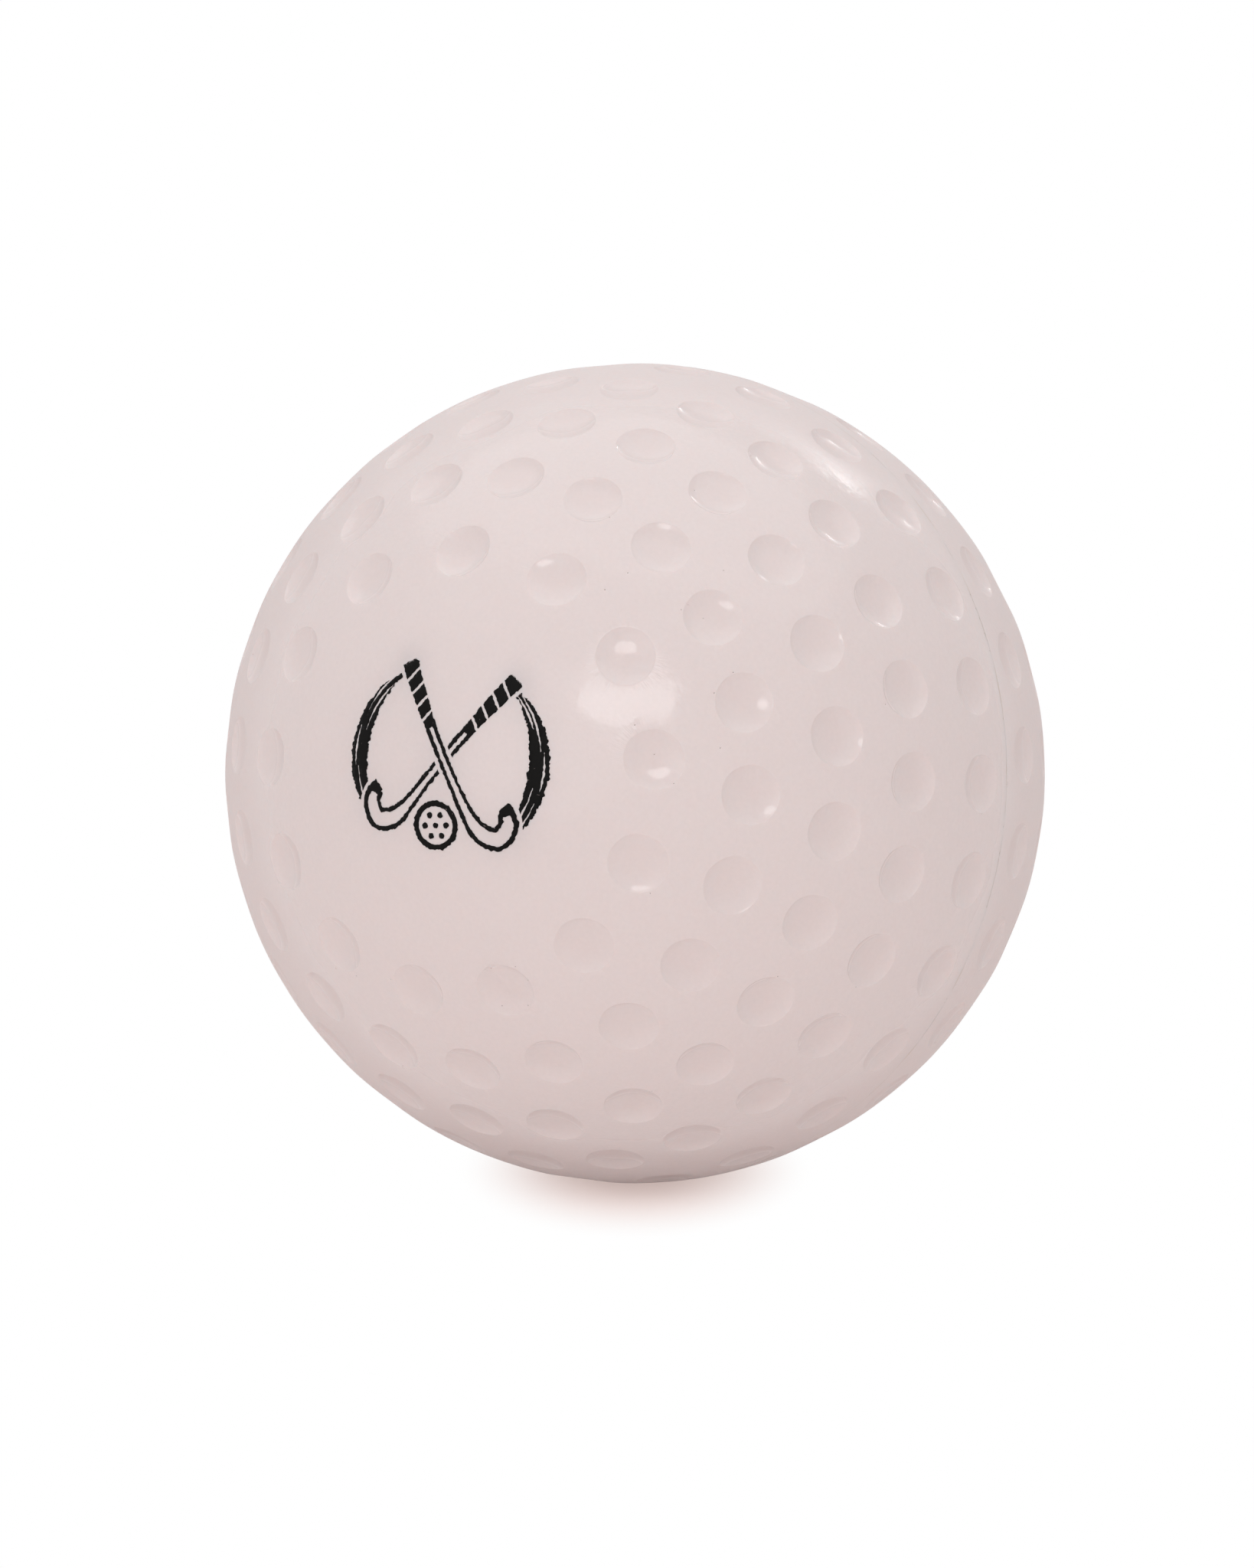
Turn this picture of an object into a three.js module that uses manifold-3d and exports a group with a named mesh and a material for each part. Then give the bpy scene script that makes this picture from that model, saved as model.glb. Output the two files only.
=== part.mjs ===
// A dimpled field hockey ball: two moulded half covers, butt-welded at the seam round a solid core.
// Millimetres, +Z up, origin at the ball's centre. The ball lies as it came to rest: its mould axis
// points forwards to -Y and a little up.

import * as THREE from "three";
import { ConvexGeometry } from "three/addons/geometries/ConvexGeometry.js";
import { mergeVertices } from "three/addons/utils/BufferGeometryUtils.js";
import Module from "manifold-3d";

// Driving dimensions, in millimetres and degrees

const ballDiameter = 73; // over the land between the dimples
const coverThickness = 7; // from that land to the cavity
const bondLine = 0.3; // of adhesive, between the cover and the core and between the two half covers
const dimpleAcross = 5; // rim to rim
const dimpleDepth = 0.55; // below the ball's round surface, at the middle of a dimple
const stanceTilt = 10.5; // how far the mould axis points above level, as the ball lies
const halvesTurned = 12.7; // the back half's turn about the mould axis against the front half

// The moulding has its dimples in rows round the mould axis, outside a plain cap that takes a print.
// polar is a row's angle from the axis and start where its first dimple lies, from +X towards up.
// The mould was laid out by hand: a row's dimples crowd together by swing on one side of the ball.
const dimpleRows = [
  { polar: 31.1, count: 13, start: 12.5, swing: 3.2, swingAt: -155 },
  { polar: 44.0, count: 20, start: 1.0, swing: 1.5, swingAt: -60 },
  { polar: 56.5, count: 24, start: 12.3, swing: 0.9, swingAt: 147 },
  { polar: 68.8, count: 27, start: 4.6, swing: 0, swingAt: 0 },
  { polar: 83.1, count: 27, start: 4.4, swing: 0, swingAt: 0 },
];

// How finely the round forms are divided

const rimPoints = 12; // round a dimple's rim
const bowlPoints = 6; // round the ring halfway down a dimple
const bowlShare = 0.56; // that ring's share of the dimple's radius
const seamPoints = 54; // round the seam
const capRings = 4; // on the plain cap, each with as many points more as the first has
const capRingPoints = 6;
const sphereSegments = 36; // round the cavity and the core

const surfaceRadius = ballDiameter / 2;
const cavityRadius = surfaceRadius - coverThickness;
const coreRadius = cavityRadius - bondLine;
const dimpleSpread = Math.asin(dimpleAcross / 2 / surfaceRadius); // half its width, seen from the centre

const wasm = await Module();
wasm.setup();

// three.js measures its polar angle from +Y and its azimuth from +Z, so this turns Y to Z and Z to X.
const poleToZ = new THREE.Matrix4().makeBasis(
  new THREE.Vector3(0, 1, 0),
  new THREE.Vector3(0, 0, 1),
  new THREE.Vector3(1, 0, 0),
);

// The point of the ball's round surface at a polar angle from +Z and an azimuth from +X, in radians.
function surfacePoint(polar, azimuth) {
  return new THREE.Vector3().setFromSphericalCoords(surfaceRadius, polar, azimuth).applyMatrix4(poleToZ);
}

// Where each dimple's middle lies on a half cover.
function dimpleCentres() {
  const centres = [];
  for (const { polar, count, start, swing, swingAt } of dimpleRows) {
    for (let i = 0; i < count; i++) {
      const even = start + (i * 360) / count;
      const azimuth = even + swing * Math.cos(THREE.MathUtils.degToRad(even - swingAt));
      centres.push(surfacePoint(THREE.MathUtils.degToRad(polar), THREE.MathUtils.degToRad(azimuth)));
    }
  }
  return centres;
}

// A ring of points on the round surface, at an angle from the direction of centre.
function ringAbout(centre, angle, count, firstStep) {
  const towards = centre.clone().normalize();
  const across = new THREE.Vector3(0, 0, 1).cross(towards).normalize();
  const ring = [];
  for (let i = 0; i < count; i++) {
    const tilted = towards.clone().applyAxisAngle(across, angle);
    ring.push(tilted.applyAxisAngle(towards, ((i + firstStep) * 2 * Math.PI) / count));
  }
  return ring.map((direction) => direction.multiplyScalar(surfaceRadius));
}

// The land: points of the plain cap and of the seam's edge, which lies half a bond line off the middle.
function landPoints(outerPolar) {
  const points = [surfacePoint(0, 0)];
  for (let ring = 1; ring <= capRings; ring++) {
    const count = ring * capRingPoints;
    for (let i = 0; i < count; i++) {
      points.push(surfacePoint((outerPolar * ring) / (capRings + 1), (i * 2 * Math.PI) / count));
    }
  }
  const seamPolar = Math.acos(bondLine / 2 / surfaceRadius);
  for (let i = 0; i < seamPoints; i++) {
    points.push(surfacePoint(seamPolar, (i * 2 * Math.PI) / seamPoints));
  }
  return points;
}

// The outside of a half cover as a closed dome on a flat base. All its points start on the round
// surface, where their convex hull joins each to its neighbours. Then those inside a rim sink.
function dimpledDome() {
  const centres = dimpleCentres();
  const plainCap = THREE.MathUtils.degToRad(dimpleRows[0].polar) - dimpleSpread;
  const points = landPoints(plainCap);
  for (const centre of centres) {
    points.push(...ringAbout(centre, dimpleSpread, rimPoints, 0));
    points.push(...ringAbout(centre, dimpleSpread * bowlShare, bowlPoints, 0.5));
    points.push(centre.clone());
  }
  const dome = new ConvexGeometry(points);
  const position = dome.getAttribute("position");
  const point = new THREE.Vector3();
  for (let i = 0; i < position.count; i++) {
    point.fromBufferAttribute(position, i);
    const away = Math.min(...centres.map((centre) => centre.angleTo(point)));
    const share = Math.min(away / dimpleSpread, 1);
    point.setLength(surfaceRadius - dimpleDepth * (1 - share * share));
    position.setXYZ(i, point.x, point.y, point.z);
  }
  return dome;
}

// A sphere as one closed revolved profile, from pole to pole on the Z axis.
function sphere(radius) {
  const profile = [];
  for (let i = 0; i <= sphereSegments / 2; i++) {
    const polar = (i * 2 * Math.PI) / sphereSegments;
    profile.push(new THREE.Vector2(radius * Math.sin(polar), -radius * Math.cos(polar)));
  }
  profile[0].x = 0;
  profile[profile.length - 1].x = 0;
  return new THREE.LatheGeometry(profile, sphereSegments).rotateX(Math.PI / 2);
}

function toSolid(geometry) {
  const bare = geometry.clone();
  bare.deleteAttribute("normal");
  bare.deleteAttribute("uv");
  const merged = mergeVertices(bare);
  const triVerts = new Uint32Array(merged.index.array);
  return new wasm.Manifold(
    new wasm.Mesh({ numProp: 3, vertProperties: merged.attributes.position.array, triVerts }),
  );
}

function toGeometry(solid) {
  const { vertProperties, triVerts } = solid.getMesh();
  const indexed = new THREE.BufferGeometry();
  indexed.setAttribute("position", new THREE.BufferAttribute(vertProperties, 3));
  indexed.setIndex(new THREE.BufferAttribute(triVerts, 1));
  const geometry = indexed.toNonIndexed();
  geometry.computeVertexNormals();
  return geometry;
}

// One half cover: the dimpled dome with the core's cavity cut into its flat base.
function halfCover() {
  return toGeometry(toSolid(dimpledDome()).subtract(toSolid(sphere(cavityRadius))));
}

const coverPlastic = new THREE.MeshStandardMaterial({ color: 0xe3d4d0, roughness: 0.35, metalness: 0 });
const corkComposition = new THREE.MeshStandardMaterial({ color: 0x8c6b4b, roughness: 0.95, metalness: 0 });

const moulding = halfCover();

const front = new THREE.Mesh(moulding, coverPlastic);
front.name = "cover_half_front";

// The same moulding turned over, and then about the mould axis.
const back = new THREE.Mesh(moulding, coverPlastic);
back.name = "cover_half_back";
back.rotation.set(Math.PI, 0, THREE.MathUtils.degToRad(-halvesTurned));

const core = new THREE.Mesh(sphere(coreRadius), corkComposition);
core.name = "core";

// The mould axis goes from +Z to -Y, and then up by the tilt.
const ball = new THREE.Group();
ball.add(front, back, core);
ball.rotation.x = THREE.MathUtils.degToRad(90 - stanceTilt);

const part = new THREE.Group();
part.add(ball);

export default part;
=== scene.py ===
# %% [markdown]
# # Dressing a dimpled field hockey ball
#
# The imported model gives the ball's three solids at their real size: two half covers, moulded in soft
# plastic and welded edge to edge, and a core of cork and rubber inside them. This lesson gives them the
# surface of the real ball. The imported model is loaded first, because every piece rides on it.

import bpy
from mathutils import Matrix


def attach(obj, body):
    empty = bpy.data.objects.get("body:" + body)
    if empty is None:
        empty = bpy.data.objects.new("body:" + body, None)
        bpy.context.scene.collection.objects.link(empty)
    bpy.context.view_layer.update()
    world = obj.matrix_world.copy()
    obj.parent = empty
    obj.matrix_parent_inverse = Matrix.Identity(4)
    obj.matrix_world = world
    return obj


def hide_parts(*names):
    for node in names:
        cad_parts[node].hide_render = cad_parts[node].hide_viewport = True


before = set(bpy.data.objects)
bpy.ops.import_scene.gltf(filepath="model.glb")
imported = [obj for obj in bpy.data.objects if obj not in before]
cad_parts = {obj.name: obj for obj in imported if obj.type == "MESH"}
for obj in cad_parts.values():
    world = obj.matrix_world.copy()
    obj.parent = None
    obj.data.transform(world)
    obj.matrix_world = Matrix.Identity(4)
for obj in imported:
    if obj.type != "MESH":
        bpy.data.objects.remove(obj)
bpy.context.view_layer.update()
print("packed nodes:", sorted(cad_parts))

# %% [markdown]
# ## Sizes and directions
#
# Blender works in metres and a mould maker in millimetres, so sizes are written as millimetres times
# `mm`. Each half cover is first made in the mould's own frame, with the mould axis along Z and the
# seam in the plane Z = 0. Two rotations then bring it to its place: the ball lies with its mould axis
# forwards and a little up.

# %% Sizes and the two halves' places
import math

import bpy
import numpy as np
from mathutils import Matrix, Vector, geometry, noise

mm = 0.001
full_turn = 2 * math.pi
ball_radius = 36.5 * mm
cover_thickness = 7 * mm
stance_tilt = 10.5
halves_turned = 12.7

front_turn = np.array(Matrix.Rotation(math.radians(90 - stance_tilt), 3, "X"))
mould_axis = tuple(front_turn @ [0, 0, 1])
turn_over = Matrix.Rotation(math.pi, 3, "X") @ Matrix.Rotation(math.radians(-halves_turned), 3, "Z")
back_turn = front_turn @ np.array(turn_over)
print("front pole points to", mould_axis)


def unit(vectors):
    return vectors / np.linalg.norm(vectors, axis=-1, keepdims=True)


def on_sphere(polar, azimuth):
    """Unit vectors at polar angles from +Z and azimuths from +X, both in degrees."""
    polar, azimuth = np.radians(polar), np.radians(azimuth)
    flat = np.sin(polar)
    return np.stack([flat * np.cos(azimuth), flat * np.sin(azimuth), np.cos(polar) + 0 * azimuth], -1)


# %% [markdown]
# ## The camera
#
# The camera comes first, because it also says where a mark of the photograph lies on the ball. A ball
# looks the same from every side, so its dimple rows and its seam give the direction, and the width
# between the limbs gives the distance. The lens looks straight at the middle of the ball and is
# shifted a little, because the photograph was cropped.

# %% Camera
photo_width, photo_height = 1638, 2048
ball_middle_px = (829.5, 1010.0)
ball_radius_px = 535.5
camera_azimuth, camera_elevation = 29.09, 12.0
camera_distance = 14 * ball_radius
focal_px = ball_radius_px * math.sqrt((camera_distance / ball_radius) ** 2 - 1)
sensor_mm = 36

a, e = math.radians(camera_azimuth), math.radians(camera_elevation)
camera_right = Vector((math.cos(a), math.sin(a), 0))
camera_back = Vector((math.sin(a) * math.cos(e), -math.cos(a) * math.cos(e), math.sin(e)))
camera_up = camera_back.cross(camera_right)


def into_scene(name, data):
    """An object of a mesh, a lamp or the camera, put into the scene."""
    thing = bpy.data.objects.new(name, data)
    bpy.context.scene.collection.objects.link(thing)
    return thing


lens = bpy.data.cameras.new("camera")
lens.sensor_width = sensor_mm
lens.lens = focal_px * sensor_mm / photo_height
lens.shift_x = (photo_width / 2 - ball_middle_px[0]) / photo_height
lens.shift_y = (ball_middle_px[1] - photo_height / 2) / photo_height
lens.clip_start = 10 * mm
facing = Matrix((camera_right, camera_up, camera_back)).transposed().to_4x4()
camera = into_scene("camera", lens)
camera.matrix_world = Matrix.Translation(camera_back * camera_distance) @ facing
bpy.context.scene.camera = camera
print(f"lens {lens.lens:.1f} mm at {camera_distance:.3f} m")


def seen_at(x, y):
    """The direction from the ball's middle to what the photograph shows at that pixel."""
    aside, above = x - ball_middle_px[0], ball_middle_px[1] - y
    ray = (camera_right * aside + camera_up * above - camera_back * focal_px).normalized()
    start = camera_back * camera_distance
    along = -start.dot(ray)
    deep = start.length_squared - along**2
    return np.array((start + ray * (along - math.sqrt(max(ball_radius**2 - deep, 0)))).normalized())


# %% [markdown]
# ## Where the dimples lie
#
# A mould maker sets the dimples in rows round the mould axis, and leaves a plain cap at the pole for
# the print. The spacing of a real mould isn't quite even: in the three inner rows the dimples crowd
# together on one side, which a cosine of a few degrees describes. Each row of the table has its angle
# from the axis, its count, where its first dimple lies, and that cosine's height and place. The packed
# model is built from the same table, so that both agree.

# %% Dimple rows
dimple_rows = [
    (31.1, 13, 12.5, 3.2, -155),
    (44.0, 20, 1.0, 1.5, -60),
    (56.5, 24, 12.3, 0.9, 147),
    (68.8, 27, 4.6, 0, 0),
    (83.1, 27, 4.4, 0, 0),
]


def row_of_dimples(polar, count, start, swing, swing_at):
    """The middles of a row of dimples. All the angles are in degrees."""
    even = start + np.arange(count) * 360 / count
    return on_sphere(polar, even + swing * np.cos(np.radians(even - swing_at)))


dimples = np.concatenate([row_of_dimples(*row) for row in dimple_rows])
print(len(dimples), "dimples on each half")

# %% [markdown]
# ## The shape of one dimple
#
# A dimple could be cut with a sphere, but then its rim would be a knife edge, and a moulded rim is
# round. So the profile is built from its slope. The bowl's slope grows evenly from the middle, as in a
# sphere, and faster towards the edge. It fades out over a narrow band at the rim, and leaves a weak
# shoulder where the plastic shrank towards the dimple as it cooled. Adding the slope up from the
# outside gives the height.

# %% Dimple profile
dimple_radius = 2.5 * mm
round_slope = 0.18
edge_slope = 0.48
edge_power = 2.6
rim_band = 0.035
shoulder_slope = 0.05
shoulder_reach = 0.3
profile_end = 3.0
profile_steps = 1200


def fade(low, high, value):
    """0 below low, 1 above high, and a smooth step between them."""
    share = np.clip((value - low) / (high - low), 0, 1)
    return share * share * (3 - 2 * share)


profile_share = np.linspace(0, profile_end, profile_steps + 1)
past_rim = fade(1 - rim_band, 1 + rim_band, profile_share)
bowl_slope = (round_slope * profile_share + edge_slope * profile_share**edge_power) * (1 - past_rim)
rest_slope = shoulder_slope * past_rim * np.exp((1 - profile_share) / shoulder_reach)
slope_sum = np.cumsum(bowl_slope + rest_slope) * dimple_radius * profile_end / profile_steps
profile_height = slope_sum - slope_sum[-1]
print(f"a dimple is {-profile_height[0] / mm:.2f} mm deep")

# %% [markdown]
# ## Wear of the mould
#
# No two dimples of a real ball are quite alike: every rim is a little out of round, and every bowl a
# little deeper or shallower. A seeded random generator draws how much, the same each time.

# %% Uneven dimples
wear_seed = 41
depth_spread = 0.035
largest_oval = 0.02
largest_lobes = 0.01
lobe_count = 5

rng = np.random.default_rng(wear_seed)
dimple_wear = [
    {
        "depth": rng.normal(1, depth_spread),
        "oval": rng.uniform(0, largest_oval),
        "oval_at": rng.uniform(0, full_turn),
        "lobes": rng.uniform(0, largest_lobes),
        "lobes_at": rng.uniform(0, full_turn),
    }
    for _ in dimples
]
print(f"the first dimple is {dimple_wear[0]['depth']:.3f} times as deep as its profile")

# %% [markdown]
# ## Pinholes
#
# Air trapped in the mould leaves pinholes, mostly at the rims and along the seam, and the cover's colour
# is made much darker in them. Those that the photograph shows are placed by their pixels. The generator
# draws the rest.

# %% Pinholes
pinholes_px = [
    (933, 905), (829, 947), (855, 985), (958, 878), (941, 977), (796, 675), (820, 748),
    (790, 770), (982, 593), (908, 637), (890, 796), (899, 789), (920, 804), (945, 745),
    (438, 1265), (465, 1275), (654, 1317), (642, 1264), (673, 1263), (689, 1281), (689, 1315),
]
seam_pinholes_px = [
    (1273, 777), (1277, 795), (1281, 808), (1287, 827), (1294, 850), (1311, 939), (1329, 1079),
    (1292, 1245),
]
pinhole_radius = 0.06 * mm
pinhole_depth = 0.08 * mm
pinholes_at_rim = {"front": 16, "back": 34}
pinholes_on_seam = {"front": 14, "back": 22}
pinholes_on_land = 16
on_seam = 0.06 * mm / ball_radius
over_seam = 0.06


def ring_about(middle, angle, count):
    """A ring of unit vectors at an angle, in radians, from a unit vector."""
    across = unit(np.cross([0, 0, 1], middle))
    along = np.cross(middle, across)
    turn = np.arange(count)[:, None] * full_turn / count
    return middle * math.cos(angle) + (across * np.cos(turn) + along * np.sin(turn)) * math.sin(angle)


def random_at_rims(count, mean_share=1.03, spread=0.05, steps=60):
    """Random places at the rims of random dimples."""
    found = []
    for middle in rng.permutation(dimples)[:count]:
        share = rng.normal(mean_share, spread)
        found.append(rng.permutation(ring_about(middle, share * dimple_radius / ball_radius, steps))[0])
    return np.array(found)


def random_between(low, high, count):
    """Random places all round the half, at heights over the seam's plane in shares of the radius."""
    polar = np.degrees(np.arccos(rng.uniform(low, high, count)))
    return on_sphere(polar, rng.uniform(0, 360, count))


seen = np.array([seen_at(*px) for px in pinholes_px]) @ front_turn
seen_on_seam = np.array([seen_at(*px) for px in seam_pinholes_px]) @ front_turn
seen_on_seam[:, 2] = on_seam
pinholes = {
    "front": [
        seen,
        unit(seen_on_seam),
        random_at_rims(pinholes_at_rim["front"]),
        random_between(on_seam, on_seam, pinholes_on_seam["front"]),
    ],
    "back": [
        random_at_rims(pinholes_at_rim["back"]),
        random_between(over_seam, 1, pinholes_on_land),
        random_between(on_seam, on_seam, pinholes_on_seam["back"]),
    ],
}
pinholes = {side: np.concatenate(parts) for side, parts in pinholes.items()}
print({side: len(found) for side, found in pinholes.items()}, "pinholes")

# %% [markdown]
# ## Points where the shape needs them
#
# A plain sphere mesh would be too coarse at a rim and wasteful on the land. So the points are laid out
# where the shape needs them: rings round every dimple, close together at its rim, an even spiral over the
# land, rows along the seam and tight rings in each pinhole. Seen from the opposite pole, the half sphere
# spreads out flat, and there Blender's own Delaunay triangulation finds the best triangles.

# %% Rings, rows and spacing
ring_shares = [0.2, 0.4, 0.6, 0.78, 0.88, 0.94, 0.975, 1.0, 1.025, 1.06, 1.13, 1.25]
ring_counts = [8, 16, 26, 44, 44, 44, 44, 44, 44, 44, 44, 44]
pinhole_shares = [0.0, 0.5, 1.0, 1.6]
pinhole_counts = [1, 6, 8, 10]
pinhole_clear = 2.2
land_spacing = 0.5 * mm
seam_points = 640
seam_gap = 0.003 * mm
clear_of_seam = 1.5 * seam_gap
seam_rows_mm = [0.003, 0.035, 0.07, 0.12, 0.2, 0.32, 0.5, 0.75, 1.05]
golden_angle = 180 * (3 - math.sqrt(5))
flat_tolerance = 1e-7


def level_ring(polar, count):
    """Even unit vectors all round, at a polar angle in degrees."""
    return on_sphere(polar, np.arange(count) * 360 / count)


def seam_row(height, count=seam_points):
    return level_ring(math.degrees(math.acos(height / ball_radius)), count)


def distance_to(points, middles):
    """How far over the sphere each unit vector is from the nearest of the middles, in metres."""
    return np.arccos(np.clip((points @ middles.T).max(1), -1, 1)) * ball_radius


def spiral_points():
    """Even points over the land, clear of the dimples and of the seam."""
    count = int(full_turn * ball_radius**2 / land_spacing**2)
    height = 1 - (np.arange(count) + 0.5) / count
    land = on_sphere(np.degrees(np.arccos(height)), np.arange(count) * golden_angle)
    land = land[distance_to(land, dimples) > dimple_radius * ring_shares[-1] + land_spacing / 2]
    return land[land[:, 2] * ball_radius > seam_rows_mm[-1] * mm + land_spacing / 2]


def rings_round(middles, radius, shares, counts):
    """Rings of points round each of the middles."""
    rings = [
        ring_about(middle, share * radius / ball_radius, count)
        for middle in middles
        for share, count in zip(shares, counts)
    ]
    return np.concatenate(rings)


def outside_points(holes):
    """The points of a half's outside, as unit vectors. The first row is the seam's edge."""
    rings = rings_round(dimples, dimple_radius, [0.0, *ring_shares], [1, *ring_counts])
    edge, *rows = [seam_row(height * mm) for height in seam_rows_mm]
    coarse = np.concatenate([*rows, rings, spiral_points()])
    coarse = coarse[distance_to(coarse, holes) > pinhole_radius * pinhole_clear]
    fine = rings_round(holes, pinhole_radius, pinhole_shares, pinhole_counts)
    fine = fine[fine[:, 2] * ball_radius > clear_of_seam]
    return np.concatenate([edge, coarse, fine])


def join_flat(points):
    """The triangles of points on the upper half sphere, by their flat image from the lower pole."""
    flat = points[:, :2] / (1 + points[:, 2:])
    made = geometry.delaunay_2d_cdt([Vector(p) for p in flat], [], [], 0, flat_tolerance)
    first = [same[0] for same in made[3]]
    return [tuple(first[i] for i in triangle) for triangle in made[2]]


print(1 + sum(ring_counts), "points for each dimple and", seam_points, "round the seam's edge")

# %% [markdown]
# ## Waves and smooth humps
#
# Soft plastic keeps slow waves from its mould. A sum of plane waves in random directions gives them
# without a pattern that the eye could find. Everything that fades out sideways, such as the groove of
# the seam, uses the same smooth hump.

# %% Waves and humps
def waves(points, seed, lengths_mm):
    """A smooth random field on the ball, about 1 high: plane waves in random directions."""
    draw = np.random.default_rng(seed)
    total = np.zeros(len(points))
    for length in lengths_mm:
        towards = unit(draw.normal(size=3))
        along = points @ towards * full_turn * ball_radius / (length * mm)
        total += np.sin(along + draw.uniform(0, full_turn))
    return total / math.sqrt(len(lengths_mm) / 2)


def hump(value):
    """1 where the value is 0, and nearly 0 from 2 on."""
    return np.exp(-(value**2))


def distance_to_line(points, start, end):
    """How far each unit vector is from the straight line between two others, in metres."""
    share = np.clip((points - start) @ (end - start) / ((end - start) @ (end - start)), 0, 1)
    return np.linalg.norm(points - start - share[:, None] * (end - start), axis=1) * ball_radius


print(f"a hump falls to {hump(1):.2f} at 1 and to {hump(2):.2f} at 2")

# %% [markdown]
# ## The relief of the surface
#
# Every point is moved out or in along its own direction. The dimples are the largest part. Over them
# lie the slow waves, the weld at the seam with its fine groove between two buffed edges, and the
# pinholes. One dimple in the photograph has a fault, a tongue of plastic that stuck to the mould. The
# finishes will ask how far a point is from its dimple's middle and in which direction, how deep it
# lies in a pinhole, and how yellowed the weld is there, so that is worked out too.

# %% Relief
wave_lengths_mm = [4, 4.6, 5.3, 6.2, 7, 8.3, 9.5, 11, 13, 16]
wave_height = 0.007 * mm
wave_seeds = {"front": 11, "back": 23}
groove_depth = 0.002 * mm
groove_width = 0.08 * mm
buffed_depth = 0.012 * mm
buffed_width = 0.8 * mm
seam_lengths_mm = [3, 5, 8]
seam_unevenness = 0.4
seam_line_width = 0.09 * mm
dash_sharpness = 3
tongue_px = [(640, 1262), (667, 1295)]
tongue_height = 0.24 * mm
tongue_width = 0.55 * mm
tiny = 1e-9
tongue = [seen_at(*px) @ front_turn for px in tongue_px]


def rim_share(points, middle, wear):
    """How far points are from a dimple's middle, in shares of its uneven radius."""
    across = unit(np.cross([0, 0, 1], middle))
    u, v = points @ across, points @ np.cross(middle, across)
    turn = np.arctan2(v, u)
    oval = wear["oval"] * np.cos(2 * turn + wear["oval_at"])
    lobes = wear["lobes"] * np.cos(lobe_count * turn + wear["lobes_at"])
    return np.arcsin(np.hypot(u, v)) * ball_radius / dimple_radius * (1 + oval + lobes)


def dimple_relief(points):
    """Heights of the dimples, each point's share of the nearest one, and its direction from it."""
    height, share = np.zeros(len(points)), np.full(len(points), profile_end)
    spoke = np.zeros((len(points), 3))
    reach = math.cos(profile_end * dimple_radius / ball_radius)
    for middle, wear in zip(dimples, dimple_wear):
        near = np.flatnonzero(points @ middle > reach)
        away = rim_share(points[near], middle, wear)
        height[near] += wear["depth"] * np.interp(away, profile_share, profile_height)
        closer = near[away < share[near]]
        outwards = points[closer] - middle * (points[closer] @ middle)[:, None]
        spoke[closer] = unit(outwards + tiny)
        share[near] = np.minimum(share[near], away)
    return height, share, spoke


def relief(points, side):
    """Heights over the round surface, in metres, and what the finishes read from the points."""
    height, share, spoke = dimple_relief(points)
    height += waves(points, wave_seeds[side], wave_lengths_mm) * wave_height
    if side == "front":
        stuck = hump(distance_to_line(points, *tongue) / tongue_width)
        height += tongue_height * stuck * (share < 1)
    above_seam = points[:, 2] * ball_radius
    ripple = seam_unevenness * waves(points, wave_seeds[side] + 1, seam_lengths_mm)
    groove = groove_depth * hump(above_seam / groove_width)
    buffed = buffed_depth * hump(above_seam / buffed_width)
    pit = hump(distance_to(points, pinholes[side]) / pinhole_radius) ** 2
    height -= (groove + buffed) * (1 + ripple) + pinhole_depth * pit
    seam_line = hump(above_seam / seam_line_width) * np.clip(dash_sharpness * ripple, 0, 1)
    return height, {"rim_share": share, "spoke": spoke, "pit": pit, "seam_line": seam_line}


print(f"the seam lies {(groove_depth + buffed_depth) / mm:.3f} mm deep")

# %% [markdown]
# ## A half cover as one closed solid
#
# The outside alone would be a skin with no thickness. A real half cover is a bowl 7 mm thick, with a
# flat welded face and a cavity for the core, so the solid gets both: the outside's edge steps in over
# the flat face and down into the cavity, ring by ring. One helper joins two rings with triangles.

# %% Inside of a half cover
cavity_radius = ball_radius - cover_thickness
face_radii_mm = [35.6, 34.2, 32.0, 30.2]
face_points = 320
cavity_rings = 26
cavity_points = 240
fewest_points = 12
key_depth = 0.03 * mm
key_lengths_mm = [1.5, 2, 3]


def strip(outer, inner):
    """Triangles between two closed rings of point numbers that run the same way."""
    faces, i, j = [], 0, 0
    while i < len(outer) or j < len(inner):
        if j == len(inner) or (i + 1) * len(inner) <= (j + 1) * len(outer):
            faces.append((outer[(i + 1) % len(outer)], outer[i % len(outer)], inner[j % len(inner)]))
            i += 1
        else:
            faces.append((inner[j], inner[(j + 1) % len(inner)], outer[i % len(outer)]))
            j += 1
    return faces


def inside_rings():
    """Rings from the flat face's rim inwards and over the cavity, in metres, and the cavity's top."""
    rings = [seam_row(0, face_points) * radius * mm + [0, 0, seam_gap] for radius in face_radii_mm]
    for i in range(cavity_rings):
        polar = 90 * (1 - i / cavity_rings)
        count = max(fewest_points, int(cavity_points * math.sin(math.radians(polar))))
        rings.append(level_ring(polar, count) * cavity_radius + [0, 0, seam_gap if i == 0 else 0])
    return rings, np.array([[0, 0, cavity_radius]])


def keyed(ring, seed):
    """A ring with the fine unevenness that gives the adhesive its hold."""
    ripple = waves(unit(ring), seed, key_lengths_mm)
    return ring * (1 + key_depth / cavity_radius * ripple)[:, None]


print(len(face_radii_mm) + cavity_rings, "rings lead from the seam into the cavity")

# %% [markdown]
# ## The two half covers
#
# Both come from the same mould, so one function makes them. Each becomes one object, which rides on
# the ball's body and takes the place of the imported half. The values that the finishes read are stored
# on its points. Those of the outside come first, so the inside simply gets 0.

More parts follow.
